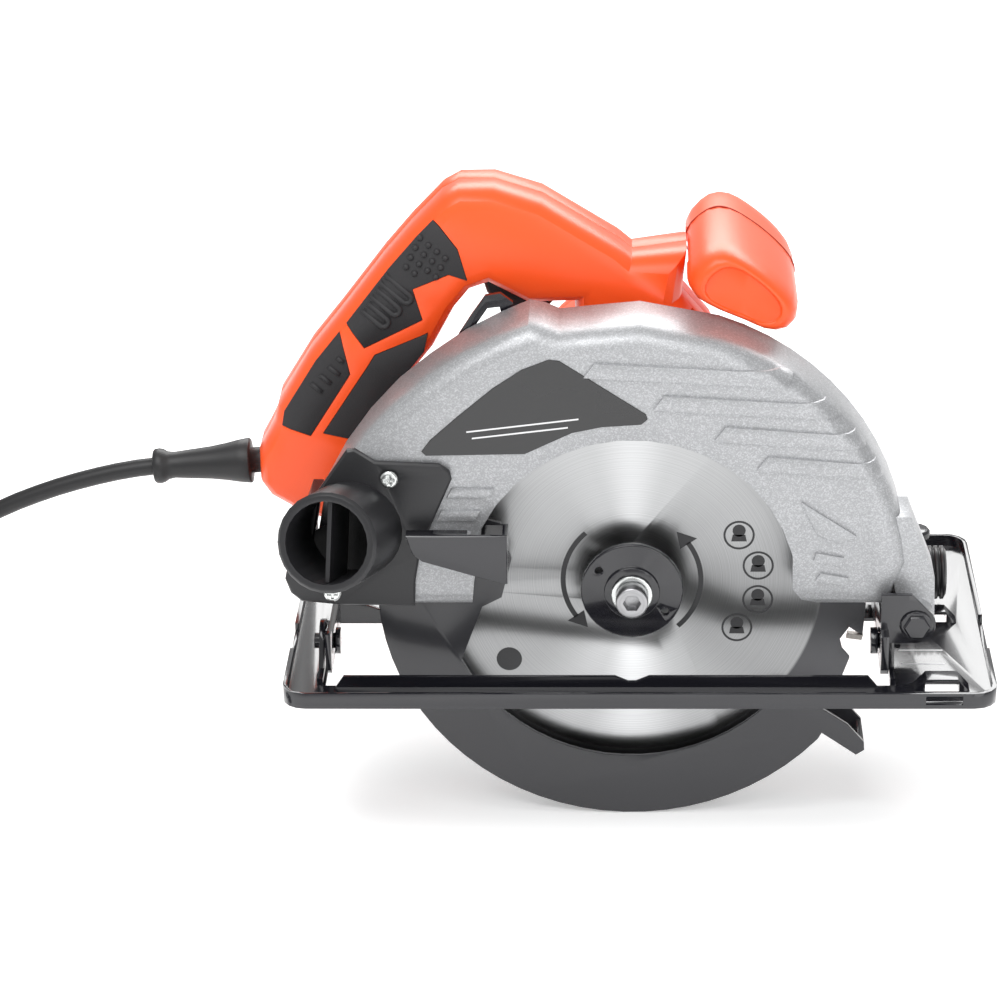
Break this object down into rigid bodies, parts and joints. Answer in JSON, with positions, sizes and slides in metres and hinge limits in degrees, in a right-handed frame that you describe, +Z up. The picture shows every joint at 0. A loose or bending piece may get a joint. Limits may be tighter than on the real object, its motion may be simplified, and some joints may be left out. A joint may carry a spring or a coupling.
{
  "type": "circular saw",
  "caption": "Hand-held circular saw: toothed disc blade under a cast guard with a swinging lower guard, motor, top handle, front grip, tilting sole plate and mains lead.",
  "frame": {"origin": "middle of the saw's footprint without its lead, on the surface that the lower guard stands on", "axes": "+X is the cutting direction, +Y points from the blade to the motor, +Z is up"},
  "size_m": [0.531, 0.222, 0.2423],
  "materials": {
    "cast_silver": "sparkling silver lacquer on cast metal",
    "orange_plastic": "moulded orange plastic",
    "soft_grip": "soft black overmould",
    "black_plastic": "satin black plastic",
    "black_steel": "gloss black coated steel",
    "guard_black": "satin black coated steel",
    "blade_steel": "brushed blade steel with a matt ring",
    "zinc_steel": "bright zinc plated steel",
    "turned_steel": "turned steel",
    "copper_winding": "lacquered copper windings",
    "laminate": "stacked steel sheets",
    "carbon": "pressed carbon",
    "fan_plastic": "dark grey plastic",
    "cord_rubber": "black cord rubber"
  },
  "bodies": {
    "saw": {"spindle_bearing": "turned_steel", "front_bearing": "turned_steel", "rear_bearing": "turned_steel", "stator": "laminate", "carbon_brush_upper": "carbon", "brush_cap_upper": "black_plastic", "carbon_brush_lower": "carbon", "brush_cap_lower": "black_plastic", "gear_housing": "cast_silver", "motor_housing": "orange_plastic", "motor_end_cap": "orange_plastic", "upper_guard": "cast_silver", "guard_retaining_ring": "turned_steel", "dust_port": "black_plastic", "dust_port_screw_upper": "zinc_steel", "dust_port_screw_lower": "zinc_steel", "handle_shell_near": "orange_plastic", "handle_shell_far": "orange_plastic", "grip_pad_upper_near": "soft_grip", "grip_pad_lower_near": "soft_grip", "grip_pad_inner_near": "soft_grip", "grip_pad_upper_far": "soft_grip", "grip_pad_lower_far": "soft_grip", "grip_pad_inner_far": "soft_grip", "switch_module": "black_plastic", "front_handle": "orange_plastic", "depth_lock_bolt": "turned_steel", "strain_relief": "cord_rubber", "cord_tube": "cord_rubber", "cord_coil": "cord_rubber", "mains_plug": "cord_rubber", "cord_clamp": "black_plastic"},
    "blade_group": {"blade": "blade_steel", "outer_flange": "black_steel", "blade_washer": "zinc_steel", "blade_bolt": "turned_steel", "inner_flange": "turned_steel", "spindle": "turned_steel", "driven_gear": "turned_steel"},
    "armature_group": {"armature_shaft": "turned_steel", "cooling_fan": "fan_plastic", "armature_core": "copper_winding", "commutator": "copper_winding"},
    "swing_guard": {"lower_guard": "guard_black", "guard_lever": "black_steel"},
    "tilt_frame": {"front_bracket": "black_steel", "depth_pivot_bolt": "black_steel", "depth_pivot_nut": "black_steel", "depth_bar": "black_steel", "bevel_pin_front": "black_steel", "bevel_pin_rear": "black_steel"},
    "sole": {"sole_plate": "black_steel"},
    "fence_screw": {"rip_fence_screw": "black_steel"},
    "bevel_knob": {"bevel_lock_knob": "black_plastic"},
    "depth_lever": {"depth_lock_lever": "black_plastic"},
    "trigger": {"trigger": "black_plastic"},
    "lock_off": {"lock_off_button": "black_plastic"},
    "spindle_lock": {"spindle_lock_button": "black_plastic"}
  },
  "joints": [
    {"name": "blade_spin", "type": "hinge", "parent": "saw", "child": "blade_group", "pos_m": [0.00375, -0.04768, 0.09744], "axis": [0, 1, 0], "continuous": true},
    {"name": "armature_spin", "type": "hinge", "parent": "saw", "child": "armature_group", "pos_m": [0.00375, 0.04232, 0.12744], "axis": [0, 1, 0], "continuous": true},
    {"name": "lower_guard_swing", "type": "hinge", "parent": "saw", "child": "swing_guard", "pos_m": [0.00375, -0.04568, 0.09744], "axis": [0, 1, 0], "range_deg": [0, 120], "stiffness_Nm_per_rad": 0.12, "springref_deg": -148.97},
    {"name": "depth_pivot", "type": "hinge", "parent": "saw", "child": "tilt_frame", "pos_m": [0.11235, -0.04968, 0.08644], "axis": [0, -1, 0], "range_deg": [-1.1, 29.8]},
    {"name": "bevel_pivot", "type": "hinge", "parent": "tilt_frame", "child": "sole", "pos_m": [-0.00425, -0.05368, 0.07394], "axis": [-1, 0, 0], "range_deg": [0, 45]},
    {"name": "bevel_knob_turn", "type": "hinge", "parent": "tilt_frame", "child": "bevel_knob", "pos_m": [0.11575, -0.00088, 0.07856], "axis": [1, 0, 0], "range_deg": [0, 180]},
    {"name": "fence_screw_turn", "type": "hinge", "parent": "sole", "child": "fence_screw", "pos_m": [0.11975, 0.04032, 0.07144], "axis": [0, 0, 1], "range_deg": [0, 180]},
    {"name": "depth_lever_swing", "type": "hinge", "parent": "saw", "child": "depth_lever", "pos_m": [-0.08307, -0.02068, 0.10148], "axis": [0, -1, 0], "range_deg": [0, 60]},
    {"name": "trigger_press", "type": "slide", "parent": "saw", "child": "trigger", "axis": [0, 0, 1], "range_m": [0, 0.003], "stiffness_N_per_m": 900, "springref_m": -0.003},
    {"name": "lock_off_press", "type": "slide", "parent": "saw", "child": "lock_off", "axis": [0, -1, 0], "range_m": [0, 0.002], "stiffness_N_per_m": 700, "springref_m": -0.002},
    {"name": "spindle_lock_press", "type": "slide", "parent": "saw", "child": "spindle_lock", "axis": [-1, 0, 0], "range_m": [0, 0.0028], "stiffness_N_per_m": 900, "springref_m": -0.003}
  ],
  "couplings": [
    {"joint": "armature_spin", "follows": "blade_spin", "ratio": -4.3333}
  ]
}
